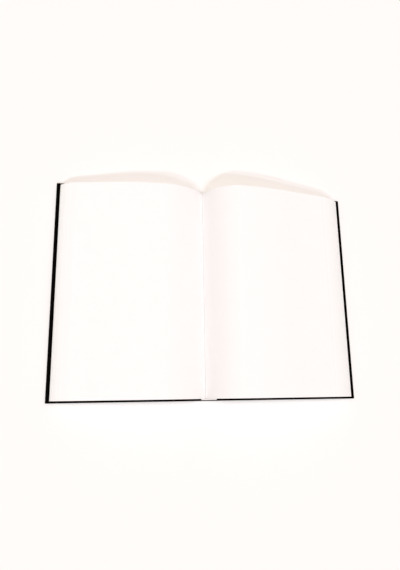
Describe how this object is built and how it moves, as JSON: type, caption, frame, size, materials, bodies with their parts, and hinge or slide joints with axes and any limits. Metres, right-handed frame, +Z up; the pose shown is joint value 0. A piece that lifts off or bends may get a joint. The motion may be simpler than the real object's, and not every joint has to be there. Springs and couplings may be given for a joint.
{
  "type": "notebook",
  "caption": "Hardcover notebook lying open face up, blank arched pages rolling out of the fold, black cloth case with cover hinges beside the spine.",
  "frame": {"origin": "on the table, under the middle of the open case", "axes": "+X across the spread from the front cover to the back cover, +Y towards the head of the pages, +Z up"},
  "size_m": [0.302, 0.214, 0.033],
  "materials": {
    "page_paper": "uncoated",
    "end_paper": "uncoated",
    "book_cloth": "matte weave",
    "grey_board": "raw",
    "lining_cloth": "open weave",
    "band_thread": "matte"
  },
  "bodies": {
    "block": {"pages": "page_paper", "spine_lining": "lining_cloth", "spine_strip": "grey_board", "spine_cloth": "book_cloth", "head_band": "band_thread", "tail_band": "band_thread"},
    "front_cover": {"front_board": "grey_board", "front_cloth": "book_cloth", "front_pastedown": "end_paper"},
    "back_cover": {"back_board": "grey_board", "back_cloth": "book_cloth", "back_pastedown": "end_paper"}
  },
  "joints": [
    {"name": "front_hinge", "type": "hinge", "parent": "block", "child": "front_cover", "pos_m": [-0.011, 0, 0.0002], "axis": [0, 1, 0], "range_deg": [-90, 0]},
    {"name": "back_hinge", "type": "hinge", "parent": "block", "child": "back_cover", "pos_m": [0.011, 0, 0.0002], "axis": [0, 1, 0], "range_deg": [0, 90]}
  ]
}
